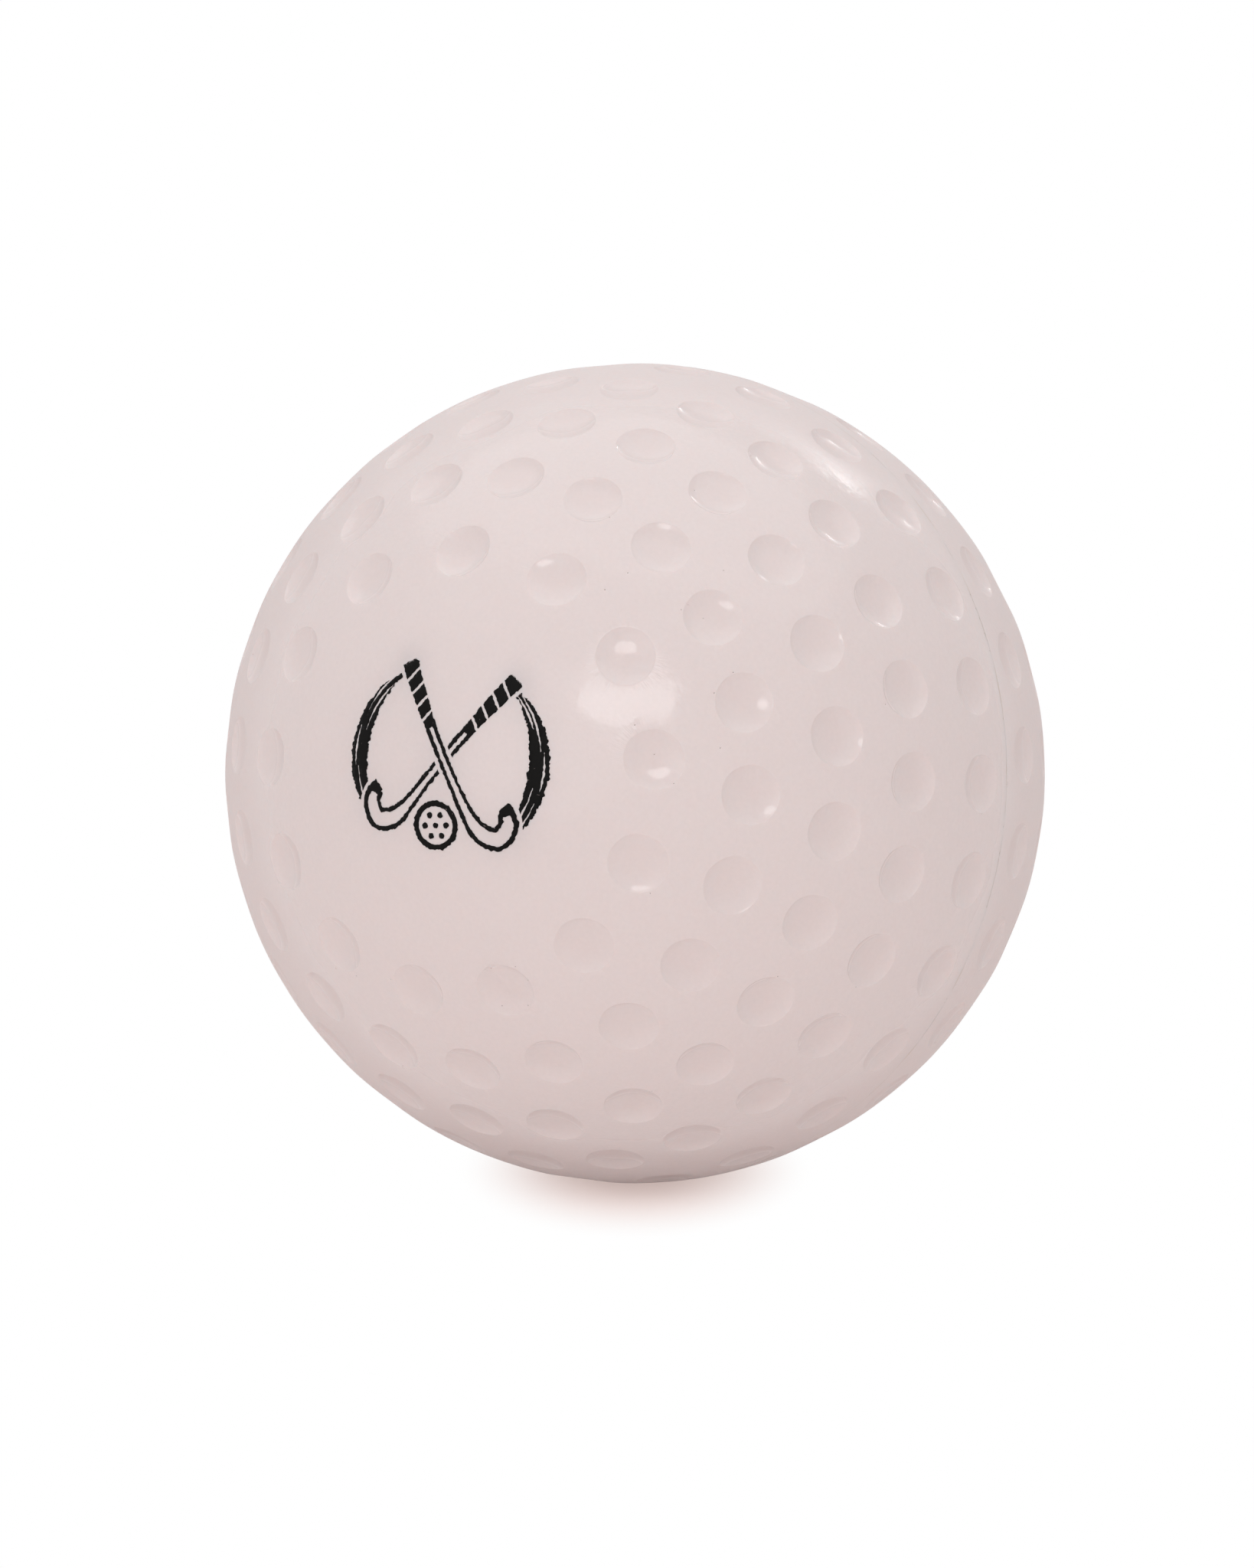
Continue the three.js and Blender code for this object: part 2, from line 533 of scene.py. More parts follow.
# %% Build the half covers
def new_object(name, points, faces, sharp_angle=50):
    mesh = bpy.data.meshes.new(name)
    mesh.from_pydata(points.tolist(), [], faces)
    mesh.validate()
    mesh.shade_smooth()
    mesh.set_sharp_from_angle(angle=math.radians(sharp_angle))
    return into_scene(name, mesh)


def store(piece, name, values):
    """Puts a number or a vector on each point of a piece, 0 on the points after the last value."""
    kind, field = ("FLOAT_VECTOR", "vector") if values.ndim > 1 else ("FLOAT", "value")
    attribute = piece.data.attributes.new(name, kind, "POINT")
    padded = np.zeros((len(piece.data.vertices), *values.shape[1:]), np.float32)
    padded[: len(values)] = values
    attribute.data.foreach_set(field, padded.ravel())


def half_cover(name, node, side, turn):
    directions = outside_points(pinholes[side])
    height, facts = relief(directions, side)
    facts["spoke"] = facts["spoke"] @ turn.T
    points = [directions * (ball_radius + height)[:, None]]
    faces = join_flat(directions)
    rings, top = inside_rings()
    outer, start = list(range(seam_points)), len(directions)
    for ring in rings:
        inner = list(range(start, start + len(ring)))
        faces += strip(outer, inner)
        outer, start = inner, start + len(ring)
        points.append(keyed(ring, wave_seeds[side] + 2))
    faces += [(outer[(i + 1) % len(outer)], outer[i], start) for i in range(len(outer))]
    piece = new_object(name, np.concatenate([*points, top]) @ turn.T, faces)
    for fact, values in facts.items():
        store(piece, fact, values)
    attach(piece, "root")
    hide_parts(node)
    print(name, "has", len(faces), "triangles")
    return piece


front_half = half_cover("front_half_cover", "cover_half_front", "front", front_turn)
back_half = half_cover("back_half_cover", "cover_half_back", "back", back_turn)

# %% [markdown]
# ## Drawing the print
#
# A plain cap carries a print in black ink: two crossed sticks over a ball, between two brushed arcs.
# It's drawn flat, in millimetres from its middle, as a list of outlines that are laid one over the
# other, some in ink and some leaving the plastic bare. A stroke is a smooth curve with a width at each
# knot. Ink creeps a little as it dries, which frays its edges.

# %% Strokes and discs
print_step = 0.11
fray_height = 0.024
thinnest_half = 0.02
fewest_steps = 8
disc_points = 40


def through(knots, steps=10):
    """A smooth curve through knots, each an x, a y and a half width."""
    ends = np.array([knots[0], *knots, knots[-1]], float)
    t = np.linspace(0, 1, steps, endpoint=False)[:, None]
    # Each stretch is a Catmull-Rom curve: it leaves a knot in the direction of the knots on both sides.
    parts = [
        b + 0.5 * t * (c - a + t * (2 * a - 5 * b + 4 * c - d + t * (3 * (b - c) + d - a)))
        for a, b, c, d in zip(ends, ends[1:], ends[2:], ends[3:])
    ]
    return np.concatenate([*parts, ends[-1:]])


def ribbon(knots, grow=0.0):
    """The outline of a stroke along a curve, widened by grow on each side."""
    line = through(knots)
    middle, half = line[:, :2], np.maximum(line[:, 2:] + grow, thinnest_half)
    side = unit(np.gradient(middle, axis=0))[:, ::-1] * [-1, 1]
    return np.concatenate([middle + side * half, (middle - side * half)[::-1]])


def disc(x, y, radius):
    turn = np.linspace(0, full_turn, disc_points, endpoint=False)
    return np.stack([x + radius * np.cos(turn), y + radius * np.sin(turn)], 1)


def arc(radius, start, end, halves):
    """Knots round the print's middle, from one azimuth to another, with these half widths."""
    turns = np.radians(np.linspace(start, end, len(halves)))
    return [(radius * math.cos(turn), radius * math.sin(turn), half) for turn, half in zip(turns, halves)]


def frayed(outline, amount, draw):
    """The outline in even steps, with a rough edge."""
    closed = np.concatenate([outline, outline[:1]])
    lengths = np.concatenate([[0], np.cumsum(np.linalg.norm(np.diff(closed, axis=0), axis=1))])
    steps = max(fewest_steps, int(lengths[-1] / print_step))
    at = np.linspace(0, lengths[-1], steps, endpoint=False)
    even = np.stack([np.interp(at, lengths, closed[:, axis]) for axis in (0, 1)], 1)
    rough = draw.normal(size=even.shape)
    return even + amount * fray_height * (rough + np.roll(rough, 1, 0))


# %% [markdown]
# ## The layers of the print
#
# A stick is first drawn upright and then leaned over, once to each side. Each is laid over a bare
# margin, so that the one in front stays clear of the one behind. Its middle is left open, and slanting
# bare bands stand for the tape round its grip. In the arcs, thin bare streaks run with the brush. Each
# outline may say how much its edge is frayed.

# %% Layers of the print
stick_knots = [
    (0, 9.2, 0.6), (0, 8.9, 0.74), (0, 6.0, 0.66), (0, 3.2, 0.52), (0, -2.0, 0.5), (0.02, -5.0, 0.66),
    (0.35, -6.9, 0.9), (1.5, -8.1, 1.0), (2.9, -7.5, 0.92), (3.25, -6.3, 0.75), (3.2, -5.9, 0.5),
]
open_knots = [
    (0, 3.0, 0.16), (0, -2.0, 0.2), (0.02, -5.0, 0.32), (0.35, -6.9, 0.52), (1.5, -8.1, 0.6),
    (2.85, -7.5, 0.5), (3.15, -6.7, 0.3),
]
stick_lean = 34
bare_margin = 0.34
tape_heights = [4.1, 5.4, 6.7, 8.0]
tape_band = [(-0.9, -0.35, 0.1), (0, 0, 0.13), (0.9, 0.35, 0.1)]
arc_radius = 8.6
arc_halves = [0.08, 0.5, 0.78, 0.9, 0.82, 0.55, 0.1]
streak_halves = [0.02, 0.075, 0.09, 0.05, 0.02]
streaks = [(0.3, 0.0, 0.34), (-0.25, 0.08, 0.42), (0.12, 0.62, 1.0), (-0.2, 0.75, 1.0), (0.42, 0.4, 0.62)]
ball_at, ball_reach, bare_share, middle_share = -5.6, 2.1, 0.77, 0.12
dots_share, dots_from, dots_to, dot_halves = 0.48, 10, 310, [0.26] * 6
arc_spans = [(-50, 52), (128, 231)]
print_seed = 7


def leaning(knots, side):
    """Knots of an upright stick, leaned so that its hook lies on the right, 1, or on the left, -1."""
    c, s = math.cos(math.radians(stick_lean)), math.sin(math.radians(stick_lean))
    return [(side * (x * c - y * s), x * s + y * c, half) for x, y, half in knots]


def print_layers():
    """The outlines in the order they are laid, each with whether it is ink."""
    draw = np.random.default_rng(print_seed)
    layers = []

    def lay(outline, ink, rough=0.6):
        layers.append((frayed(outline, rough, draw), ink))

    for start, end in arc_spans:
        lay(ribbon(arc(arc_radius, start, end, arc_halves)), True, 1.6)
        for shift, first, last in streaks:
            turns = [start + share * (end - start) for share in (first, last)]
            lay(ribbon(arc(arc_radius + shift, *turns, streak_halves)), False)
    for side in (-1, 1):
        lay(ribbon(leaning(stick_knots, side), grow=bare_margin), False, 0.5)
        lay(ribbon(leaning(stick_knots, side)), True, 1)
        lay(ribbon(leaning(open_knots, side)), False, 0.8)
        for up in tape_heights:
            band = [(x, up + y, half) for x, y, half in tape_band]
            lay(ribbon(leaning(band, side)), False)
    lay(disc(0, ball_at, ball_reach), True, 1)
    lay(disc(0, ball_at, ball_reach * bare_share), False)
    lay(disc(0, ball_at, ball_reach * middle_share), True)
    for x, y, half in arc(ball_reach * dots_share, dots_from, dots_to, dot_halves):
        lay(disc(x, y + ball_at, half), True)
    return layers


layers = print_layers()
print(len(layers), "layers in the print")

# %% [markdown]
# ## The print as a film of ink
#
# A print could be colour in the cover's finish, but real ink has a thickness and lies on the plastic.
# So it becomes a thin film, wrapped on the cap true to length from the print's middle.

# %% The print's place on the cap
print_middle_px = (579, 992)
print_slope = 10
slope_reach_px = 40

slope = math.radians(print_slope)
aside_px = print_middle_px + slope_reach_px * np.array([math.cos(slope), math.sin(slope)])
print_middle = seen_at(*print_middle_px) @ front_turn
print_up = unit(np.cross(print_middle, seen_at(*aside_px) @ front_turn))
print_right = np.cross(print_up, print_middle)
print("the print's middle points to", print_middle.round(3))


def on_cap(flat):
    """Unit vectors to points of the drawing, true to length from its middle."""
    reach = np.linalg.norm(flat, axis=1, keepdims=True) + tiny
    towards = (print_right * flat[:, :1] + print_up * flat[:, 1:]) / reach
    angle = reach * mm / ball_radius
    return print_middle * np.cos(angle) + towards * np.sin(angle)


# %% [markdown]
# ## Which triangles are inked
#
# All the outlines go into one flat triangulation, which keeps them as edges, and a coarse grid of
# points keeps the triangles small enough to bend round the ball. Each triangle takes the tone of the
# last layer that covers its middle. The smallest islands of ink are dropped, as a real print has none.

# %% Inked triangles
print_grid = 0.4
print_reach = 10
least_island = 0.02
outline_tolerance = 1e-5


def within(points, outline):
    """Whether each flat point is inside the outline: whether a line from it crosses it oddly often."""
    crossed = np.zeros(len(points), bool)
    x, y = points.T
    for (ax, ay), (bx, by) in zip(outline, np.roll(outline, -1, 0)):
        if ay != by:
            crossed ^= ((ay > y) != (by > y)) & (x < ax + (y - ay) * (bx - ax) / (by - ay))
    return crossed


def inked_triangles():
    points, edges = [], []
    for outline, _ in layers:
        first = len(points)
        points += outline.tolist()
        edges += [(first + i, first + (i + 1) % len(outline)) for i in range(len(outline))]
    steps = np.arange(-print_reach, print_reach, print_grid)
    points += [(x, y) for x in steps for y in steps]
    made = geometry.delaunay_2d_cdt([Vector(point) for point in points], edges, [], 0, outline_tolerance)
    flat, triangles = np.array([tuple(point) for point in made[0]]), np.array(made[2])
    middles = flat[triangles].mean(1)
    ink = np.zeros(len(triangles), bool)
    for outline, is_ink in layers:
        ink[within(middles, outline)] = is_ink
    return flat, triangles[ink]


def large_islands(flat, triangles):
    """The triangles of islands that are larger than least_island, in square millimetres."""
    island = np.arange(len(flat))
    while True:
        lowest = island[triangles].min(1)
        spread = island.copy()
        np.minimum.at(spread, triangles.ravel(), np.repeat(lowest, 3))
        if (spread == island).all():
            break
        island = spread
    a, b, c = flat[triangles].transpose(1, 0, 2)
    area = abs((b - a)[:, 0] * (c - a)[:, 1] - (b - a)[:, 1] * (c - a)[:, 0]) / 2
    total = np.bincount(island[triangles[:, 0]], area, len(flat))
    return triangles[total[island[triangles[:, 0]]] > least_island]


# %% [markdown]
# ## The film itself
#
# The film follows the relief of the cap a hair above it, and Blender's Solidify gives it a thickness
# downwards. The places of the inked triangles are kept, because the plastic between them looks greyer.

# %% Film of ink
film_top = 0.022 * mm
film_thickness = 0.018 * mm


def cap_print():
    flat, triangles = inked_triangles()
    used, triangles = np.unique(large_islands(flat, triangles), return_inverse=True)
    triangles = triangles.reshape(-1, 3)
    directions = on_cap(flat[used])
    radius = ball_radius + relief(directions, "front")[0] + film_top
    film = new_object("cap_print", directions * radius[:, None] @ front_turn.T, triangles.tolist())
    film.modifiers.new("thickness", "SOLIDIFY").thickness = film_thickness
    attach(film, "root")
    print("cap_print has", len(triangles), "triangles")
    return film, directions[triangles].mean(1)


print_film, inked_places = cap_print()

# %% [markdown]
# ## Shade under the ink
#
# Light that falls on black ink never gets into the plastic, so the plastic between the strokes looks
# greyer, and a little of that reaches some millimetres further. How much ink lies near each point of
# the cover is a sum of smooth humps round the inked triangles.

# %% Ink near each point
shade_reaches = (1.1 * mm, 3.5 * mm)
shade_shares = (0.8, 0.2)
shade_end = 20 * mm
shade_batches = 40


def ink_shade(piece, turn):
    co = np.empty(len(piece.data.vertices) * 3)
    piece.data.vertices.foreach_get("co", co)
    directions = unit(co.reshape(-1, 3) @ turn)
    near = np.flatnonzero(directions @ print_middle > math.cos(shade_end / ball_radius))
    shade = np.zeros(len(directions))
    away = [
        np.arccos(np.clip(directions[some] @ inked_places.T, -1, 1)) * ball_radius
        for some in np.array_split(near, shade_batches)
    ]
    for reach, part in zip(shade_reaches, shade_shares):
        each = np.concatenate([hump(some / (math.sqrt(2) * reach)).sum(1) for some in away])
        shade[near] += part * each / each.max()
    store(piece, "ink_shade", shade)
    print("ink shades", len(near), "points of", piece.name)


ink_shade(front_half, front_turn)

# %% [markdown]
# ## Writing shader maths as sums
#
# A procedural finish is a sum of masks and noises. Wired by hand, each plus sign is a node and two
# links. The class below wraps a socket, so that `1 - mask` or `grain * 0.3` adds the node by itself.

# %% Sockets that can be added up
class Wire:
    """An output socket of a material's nodes, which can be used in sums like a number."""

    def __init__(self, nodes, socket):
        self.nodes, self.socket = nodes, socket

    def __add__(self, other):
        return self.nodes.maths("ADD", self, other)

    def __sub__(self, other):
        return self.nodes.maths("SUBTRACT", self, other)

    def __rsub__(self, other):
        return self.nodes.maths("SUBTRACT", other, self)

    def __mul__(self, other):
        return self.nodes.maths("MULTIPLY", self, other)

    __radd__ = __add__
    __rmul__ = __mul__


# %% [markdown]
# ## The nodes of one material
#
# A second class holds a material's nodes. Its method `add` makes any node, given its type, its
# settings and what goes into its sockets. The others are short names for what the finishes use often.

# %% Nodes of a material
class Nodes:
    """The nodes of a material or of the world, emptied first."""

    def __init__(self, owner):
        owner.use_nodes = True
        self.owner, self.tree = owner, owner.node_tree
        self.tree.nodes.clear()

    def add(self, kind, settings, sockets, output=0):
        """Adds a node of a type. Sockets are named by place, by name or by identifier."""
        node = self.tree.nodes.new(kind)
        for name, value in settings.items():
            if name == "stops":
                self.set_stops(node.color_ramp.elements, value)
            else:
                setattr(node, name, value)
        for name, value in sockets.items():
            socket = self.find(node.inputs, name)
            if isinstance(value, Wire):
                self.tree.links.new(value.socket, socket)
            elif hasattr(socket.default_value, "__len__") and not hasattr(value, "__len__"):
                socket.default_value = [value] * len(socket.default_value)
            else:
                socket.default_value = value
        return Wire(self, self.find(node.outputs, output)) if node.outputs else None

    def set_stops(self, elements, stops):
        """Gives a colour ramp its stops, each a place and a colour."""
        while len(elements) < len(stops):
            elements.new(0.5)
        for element, (place, colour) in zip(elements, stops):
            element.position, element.color = place, colour

    def find(self, sockets, key):
        if isinstance(key, int):
            return sockets[key]
        return next(s for s in sockets if key in (s.identifier, s.name))

    def maths(self, operation, *terms, output=0):
        """A Math node, or a Vector Math node where a term is a vector or a colour."""
        vector = any(isinstance(term, Wire) and term.socket.type != "VALUE" for term in terms)
        kind = "ShaderNodeVectorMath" if vector else "ShaderNodeMath"
        return self.add(kind, {"operation": operation}, dict(enumerate(terms)), output)

    def place(self):
        """The place on the object, in metres."""
        return self.add("ShaderNodeTexCoord", {}, {}, "Object")

    def noise(self, place, size, detail=2, roughness=0.5):
        """Noise about 0.5 whose bumps are about this size, in metres."""
        sockets = {"Vector": place, "Scale": 1 / size, "Detail": detail, "Roughness": roughness}
        return self.add("ShaderNodeTexNoise", {}, sockets)

    def mask(self, value, low, high):
        """0 where the value is under low, 1 where it is over high."""
        sockets = {"Value": value, "From Min": low, "From Max": high}
        return self.add("ShaderNodeMapRange", {"interpolation_type": "SMOOTHSTEP"}, sockets)

    def mix(self, mask, low, high):
        """The low colour where the mask is 0, and the high one where it is 1."""
        sockets = {"Factor_Float": mask, "A_Color": low, "B_Color": high}
        return self.add("ShaderNodeMix", {"data_type": "RGBA"}, sockets, "Result_Color")

    def stored(self, name, output="Fac"):
        """A value that is stored on the mesh."""
        return self.add("ShaderNodeAttribute", {"attribute_name": name}, {}, output)

    def bump(self, height, distance):
        """A normal that follows a height field, whose 1 stands for this distance in metres."""
        sockets = {"Height": height, "Distance": distance, "Strength": 1}
        return self.add("ShaderNodeBump", {}, sockets)

    def end(self, shader, kind="Material"):
        """Ends the material, or the world, in this shader."""
        self.add("ShaderNodeOutput" + kind, {}, {"Surface": shader})
        print(self.owner.name, "has", len(self.tree.nodes), "nodes")
        return self.owner

    def principled(self, sockets):
        """Ends the material in a Principled shader with these sockets."""
        return self.end(self.add("ShaderNodeBsdfPrincipled", {}, sockets))


# %% [markdown]
# ## The cover's colour
#
# The cover is soft PVC in a pale pinkish beige. Its colour changes only a little: faint clouds, painted
# shade that makes the hollows darker and pinker, painted shade that greys the plastic under the ink,
# yellowed dashes along the weld and darker pinholes. Each is a mix of the colour so far with another one,
# through a mask.

# %% Colour of the cover
cover_colour = (0.733, 0.640, 0.628, 1)
cloud_colour = (0.748, 0.655, 0.642, 1)
shaded_hollow_colour = (0.700, 0.575, 0.555, 1)
shade_colour = (0.56, 0.51, 0.515, 1)
seam_colour = (0.62, 0.46, 0.36, 1)
pinhole_dark_colour = (0.16, 0.085, 0.07, 1)
cloud_size = 9 * mm
speckle_size, speckle = 0.35 * mm, 0.06
hollow_shade_share, ink_tint, seam_tint = 0.2, 0.6, 0.6
hollow_shade_span, pinhole_dark_span = (1.05, 0.2), (0.3, 0.9)


def cover_colours(nodes, place, share):
    colour = nodes.mix(nodes.noise(place, cloud_size), cover_colour, cloud_colour)
    # Painted shade: the colour turns darker and pinker towards each dimple's middle.
    colour = nodes.mix(nodes.mask(share, *hollow_shade_span) * hollow_shade_share, colour, shaded_hollow_colour)
    colour = nodes.mix(nodes.stored("ink_shade") * ink_tint, colour, shade_colour)
    colour = nodes.mix(nodes.stored("seam_line") * seam_tint, colour, seam_colour)
    # Much darker colour in the pinholes.
    colour = nodes.mix(nodes.mask(nodes.stored("pit"), *pinhole_dark_span), colour, pinhole_dark_colour)
    return colour * (nodes.noise(place, speckle_size, detail=3) * speckle + (1 - speckle / 2))


# %% [markdown]
# ## The cover's fine relief
#
# What is too small for the mesh goes into a bump: the orange peel that the mould left, slow unevenness
# that frays the edge of a reflection, fine strokes that point away from each dimple, and the marks of
# buffing along the seam. The strokes come from noise that is stretched along the spokes: a place's
# direction from its dimple changes the noise fast, and its distance hardly does.

# %% Fine relief of the cover
bump_height = 0.0035 * mm
peel_size, peel_height = 0.3 * mm, 0.9
sink_size, bowl_sinks, land_sinks = 1.7 * mm, 5, 10
strokes_round, strokes_along, stroke_height = 16, 1100, 6
strokes_span = (1.65, 1.1)
streaks_across, streaks_along, streak_height = 2600, 70, 3.5
buffed_from, buffed_to = 0.2 * mm, 1.5 * mm


def cover_bump(nodes, place, share, land):
    near_rim = nodes.mask(share, *strokes_span) * land
    round_dimple = nodes.stored("spoke", "Vector") * strokes_round
    strokes = nodes.noise(round_dimple + place * strokes_along, size=1)
    above_seam = nodes.maths("DOT_PRODUCT", place, mould_axis, output="Value")
    buffed = nodes.mask(above_seam * above_seam, buffed_to**2, buffed_from**2)
    along_axis = {0: mould_axis, "Scale": above_seam}
    across_seam = nodes.add("ShaderNodeVectorMath", {"operation": "SCALE"}, along_axis) * streaks_across
    streaks = nodes.noise(across_seam + place * streaks_along, size=1)
    sinks = nodes.noise(place, sink_size, detail=3)
    height = nodes.noise(place, peel_size) * peel_height + sinks * (land * land_sinks + bowl_sinks)
    height = height + strokes * near_rim * stroke_height + streaks * buffed * streak_height
    return nodes.bump(height, bump_height)


# %% [markdown]
# ## The cover's plastic
#
# Light goes a short way into PVC, which softens the shade in the dimples and reddens it, so the finish
# needs subsurface scattering. The surface is satin. The bowls are a little glossier than the land,
# because nothing has rubbed them, and a glancing look, which the Layer Weight node tells, meets the
# fine peel edge on and finds it duller.

# %% Cover plastic
bowl_roughness = 0.04
land_roughness = 0.05
patchy_roughness, patch_size = 0.08, 2.5 * mm
glancing_roughness = 0.7
glancing_span, land_span = (0.48, 0.75), (0.96, 1.03)


def cover_plastic():
    nodes = Nodes(bpy.data.materials.new("cover_plastic"))
    place = nodes.place()
    share = nodes.stored("rim_share")
    land = nodes.mask(share, *land_span)
    slant = nodes.add("ShaderNodeLayerWeight", {}, {"Blend": 0.5}, "Facing")
    roughness = nodes.mask(slant, *glancing_span) * glancing_roughness + bowl_roughness
    roughness = roughness + nodes.noise(place, patch_size, detail=4) * patchy_roughness
    return nodes.principled(
        {
            "Base Color": cover_colours(nodes, place, share),
            "Roughness": roughness + land * land_roughness,
            "IOR": 1.34,
            "Subsurface Weight": 0.3,
            "Subsurface Radius": (1.0, 0.6, 0.5),
            "Subsurface Scale": 0.8 * mm,
            "Normal": cover_bump(nodes, place, share, land),
        }
    )


cover_finish = cover_plastic()
for half in (front_half, back_half):
    half.data.materials.append(cover_finish)

# %% [markdown]
# ## The ink
#
# Screen ink is a dense black with a dull gloss. It never covers perfectly, so tiny pale specks show
# through, and its surface is slightly grained.

# %% Ink
ink_colour = (0.004, 0.0035, 0.0033, 1)
speck_colour = (0.16, 0.13, 0.125, 1)
speck_size, ink_grain, ink_relief = 0.22 * mm, 0.12 * mm, 0.004 * mm
speck_span = (0.74, 0.8)
ink_roughness, ink_unevenness = 0.45, 0.2


def print_ink():
    nodes = Nodes(bpy.data.materials.new("print_ink"))
    place = nodes.place()
    specks = nodes.mask(nodes.noise(place, speck_size, detail=1), *speck_span)
    grain = nodes.noise(place, ink_grain)
    return nodes.principled(
        {
            "Base Color": nodes.mix(specks, ink_colour, speck_colour),
            "Roughness": grain * ink_unevenness + ink_roughness,
            "Specular IOR Level": 0.08,
            "Normal": nodes.bump(grain, ink_relief),
        }
    )


print_film.data.materials.append(print_ink())

# %% [markdown]
# ## The cork core
#
# Nobody sees the core of a whole ball, but the part can be taken apart on a screen. It is cork and
# rubber, pressed warm in a round mould, so it shows flattened granules with fine gaps between them and
# a low ridge where the two moulds met. Voronoi cells, a little bent by noise, give the gaps: a gap is
# where the nearest two cell middles are about equally far away. The noise vectors get a seed, because
# Blender takes a new one from the clock in each run.

# %% Relief of the core
bond_line = 0.3 * mm
core_radius = cavity_radius - bond_line
granule = 3.2 * mm
granule_bend, bend_size, bend_seed = 0.25, 1.7, 5
gap_depth, gap_sharpness = 0.12 * mm, 6
grain_height, grain_fineness = 0.03 * mm, 4
mould_ridge = 0.08 * mm
ridge_width = 0.35 * mm
core_sink = 0.06 * mm

noise.seed_set(bend_seed)


def core_relief(direction):
    """Height of the core's surface over the round one, in metres."""
    place = Vector(direction * core_radius / granule)
    place += granule_bend * noise.noise_vector(place * bend_size)
    distances = noise.voronoi(place)[0]
    gap = max(0, 1 - (distances[1] - distances[0]) * gap_sharpness)
    ridge = mould_ridge * hump(direction[2] * core_radius / ridge_width)
    grain = grain_height * noise.noise(place * grain_fineness)
    return ridge + grain - gap_depth * gap * gap - core_sink


print(f"the core is {2 * core_radius / mm:.1f} mm across")

# %% [markdown]
# ## The core's mesh
#
# Rings of points from pole to pole, with as many points as their length asks for, are joined by the
# same helper as the inside of the cover.

# %% Build the core
core_rings = 150
fewest_core_points = 8


def core_points():
    """The rings of the core's directions, from pole to pole."""
    rings = [np.array([[0, 0, 1.0]])]
    for i in range(1, core_rings):
        polar = 180 * i / core_rings
        count = max(fewest_core_points, int(2 * core_rings * math.sin(math.radians(polar))))
        rings.append(level_ring(polar, count))
    return [*rings, np.array([[0, 0, -1.0]])]


def cork_core():
    rings = core_points()
    ends = np.cumsum([len(ring) for ring in rings])
    numbers = [list(range(end - len(ring), end)) for ring, end in zip(rings, ends)]
    faces = []
    for outer, inner in zip(numbers, numbers[1:]):
        faces += [face for face in strip(outer, inner) if len(set(face)) == 3]
    directions = np.concatenate(rings)
    radius = core_radius + np.array([core_relief(direction) for direction in directions])
    piece = new_object("cork_core", directions * radius[:, None] @ front_turn.T, faces)
    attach(piece, "root")
    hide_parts("core")
    print("cork_core has", len(faces), "triangles")
    return piece


core = cork_core()

# %% [markdown]
# ## The finish of the cork
#
# Each granule has a tone of its own, from pale to dark cork and a few grains of black rubber. The
# Voronoi texture gives every cell a random colour, and a ramp turns it into those tones. Over them lie
# the grain of the cork and its small dark pores, which also go into the bump.

# %% Cork finish
cork_tones = [
    (0.0, (0.20, 0.105, 0.05, 1)),
    (0.35, (0.30, 0.17, 0.085, 1)),
    (0.7, (0.40, 0.25, 0.13, 1)),
    (1.0, (0.05, 0.04, 0.035, 1)),
]
grain_colour = (0.12, 0.06, 0.03, 1)
pore_colour = (0.035, 0.018, 0.01, 1)
grain_size, pore_size, cork_relief = 0.7 * mm, 0.4 * mm, 0.06 * mm
grain_span, grain_tint, pore_span = (0.62, 0.4), 0.6, (0.36, 0.28)
cork_roughness, cork_unevenness = 0.98, 0.15


def cork_composition():
    nodes = Nodes(bpy.data.materials.new("cork_composition"))
    place = nodes.place()
    cells = nodes.add("ShaderNodeTexVoronoi", {}, {"Vector": place, "Scale": 1 / granule}, "Color")
    chance = nodes.add("ShaderNodeSeparateColor", {}, {"Color": cells}, "Red")
    colour = nodes.add("ShaderNodeValToRGB", {"stops": cork_tones}, {"Fac": chance}, "Color")
    grain = nodes.noise(place, grain_size, detail=5, roughness=0.65)
    colour = nodes.mix(nodes.mask(grain, *grain_span) * grain_tint, colour, grain_colour)
    pores = nodes.mask(nodes.noise(place, pore_size, detail=1), *pore_span)
    return nodes.principled(
        {
            "Base Color": nodes.mix(pores, colour, pore_colour),
            "Roughness": cork_roughness - grain * cork_unevenness,
            "Normal": nodes.bump(grain - pores, cork_relief),
        }
    )


core.data.materials.append(cork_composition())

# %% [markdown]
# ## The floor
#
# The ball stands in a plain white studio. For the light that bounces, the floor is an ordinary pale one.
# Where it's seen, straight or in a reflection, it shows the white of the background, so that no horizon
# is left. Only in an oval round the ball does it keep its own shading, which is the ball's shadow; there
# a painted pink glow lightens the shadow and warms it, standing in for the light that the plastic and the
# white room throw on the real floor.

# %% Floor
floor_colour = (0.96, 0.90, 0.885, 1)
floor_radius, floor_points = 4, 96
painted_pink_glow = (1.0, 0.80, 0.75, 1)
painted_shadow_lift = 0.52
shadow_reach = (15.5 * mm, 22 * mm)
shadow_span = (0.2, 1.05)
white = (1, 1, 1, 1)


def to_the_eye(nodes):
    """1 for rays that show a thing, straight or by reflection, and 0 for rays that only light things."""
    camera_ray, glossy_ray, clear_ray = (
        nodes.add("ShaderNodeLightPath", {}, {}, f"Is {kind} Ray")
        for kind in ("Camera", "Glossy", "Transmission")
    )
    return nodes.maths("MAXIMUM", camera_ray, glossy_ray + clear_ray)


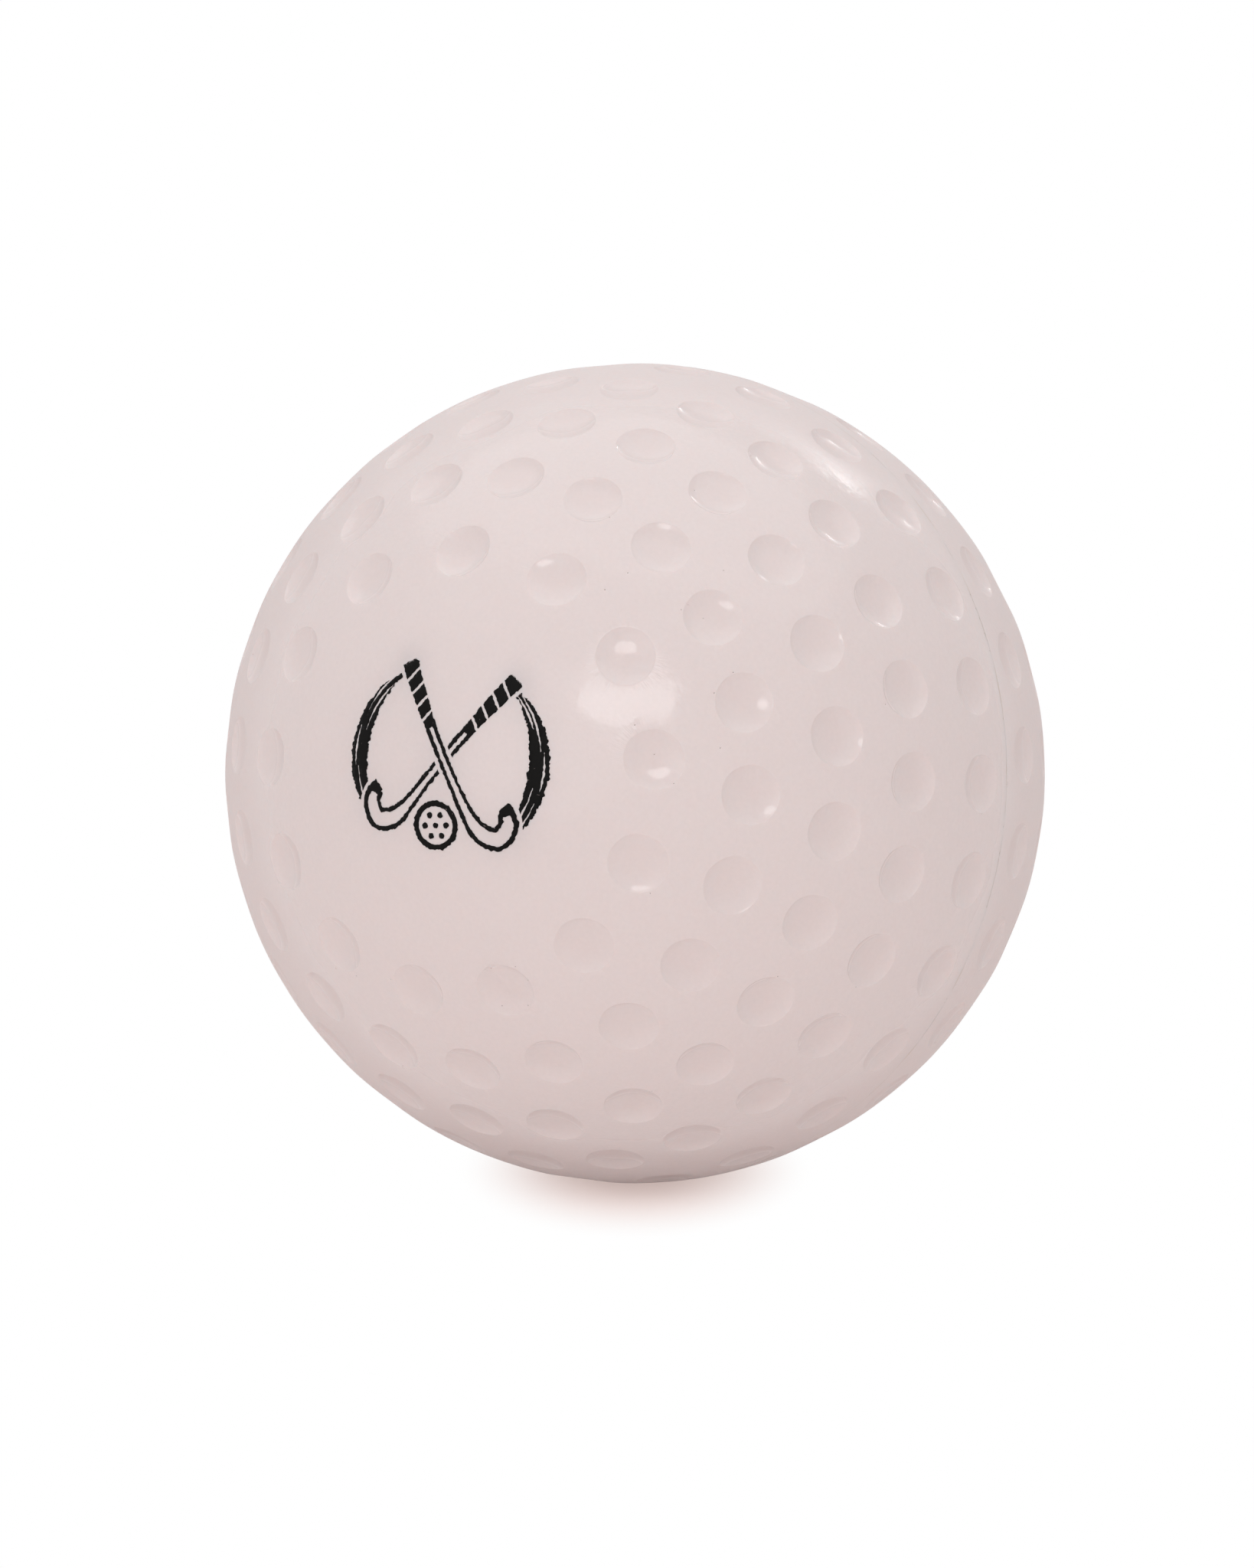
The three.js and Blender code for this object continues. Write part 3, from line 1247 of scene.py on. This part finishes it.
def white_floor():
    nodes = Nodes(bpy.data.materials.new("white_floor"))
    turned = {"Vector": nodes.place(), "Rotation": (0, 0, -math.radians(camera_azimuth))}
    oval = nodes.add("ShaderNodeMapping", {}, turned) * (1 / shadow_reach[0], 1 / shadow_reach[1], 0)
    away = nodes.maths("LENGTH", oval, output="Value")
    clear = nodes.mask(away, *shadow_span)
    plain = nodes.add("ShaderNodeBsdfDiffuse", {}, {"Color": floor_colour})
    # Painted light: near the ball the seen floor glows pink and lightens the shadow; away from it, it
    # shows plain white.
    seen_white = nodes.add("ShaderNodeEmission", {}, {"Color": nodes.mix(clear, painted_pink_glow, white)})
    share = to_the_eye(nodes) * (clear * (1 - painted_shadow_lift) + painted_shadow_lift)
    return nodes.end(nodes.add("ShaderNodeMixShader", {}, {0: share, 1: plain, 2: seen_white}))


def floor_disc():
    turn = np.arange(floor_points) * full_turn / floor_points
    x, y = floor_radius * np.cos(turn), floor_radius * np.sin(turn)
    disc = new_object("floor", np.stack([x, y, 0 * turn - ball_radius], -1), [tuple(range(floor_points))])
    disc.data.materials.append(white_floor())


floor_disc()

# %% [markdown]
# ## The world and the lamps
#
# A white room gives about half of the light, evenly from all round, and is full white where it's seen.
# Five soft boxes give the rest. The key stands above the camera, and its reflection is the bright patch
# on the cap. The fill is wide and stands on the camera's left. A very wide one overhead lights the
# upper side and makes the shadow. Behind the ball on the right, a narrow strip draws the streak near
# the seam, and a weak box round it the veil beside the streak.

# %% World and lamps
world_light = 0.54
lamp_distance = 0.9


def studio():
    nodes = Nodes(bpy.data.worlds.new("studio"))
    strength = to_the_eye(nodes) * (1 - world_light) + world_light
    room = nodes.add("ShaderNodeBackground", {}, {"Color": white, "Strength": strength})
    return nodes.end(room, "World")


bpy.context.scene.world = studio()
bpy.context.scene.view_settings.view_transform = "Standard"


def soft_box(name, aside, above, towards, width, height, power):
    """A lamp that shines at the ball from a direction given along the camera's axes."""
    lamp = bpy.data.lights.new(name, "AREA")
    lamp.shape = "ELLIPSE"
    lamp.size, lamp.size_y = width, height
    lamp.energy = power
    box = into_scene(name, lamp)
    direction = (camera_right * aside + camera_up * above + camera_back * towards).normalized()
    box.location = direction * lamp_distance
    box.rotation_euler = direction.to_track_quat("Z", "Y").to_euler()
    print("the lamp", name, "shines with", power, "W")


soft_box("key", -0.03, 0.345, 0.93, width=0.41, height=0.27, power=1.42)
soft_box("fill", -0.45, 0.15, 0.88, width=0.9, height=0.7, power=1.05)
soft_box("overhead", 0.05, 0.98, 0.1, width=2.0, height=1.0, power=3.9)
soft_box("veil", 0.43, 0.72, -0.55, width=0.32, height=0.26, power=0.16)
soft_box("strip", 0.48, 0.71, -0.51, width=0.18, height=0.035, power=0.17)
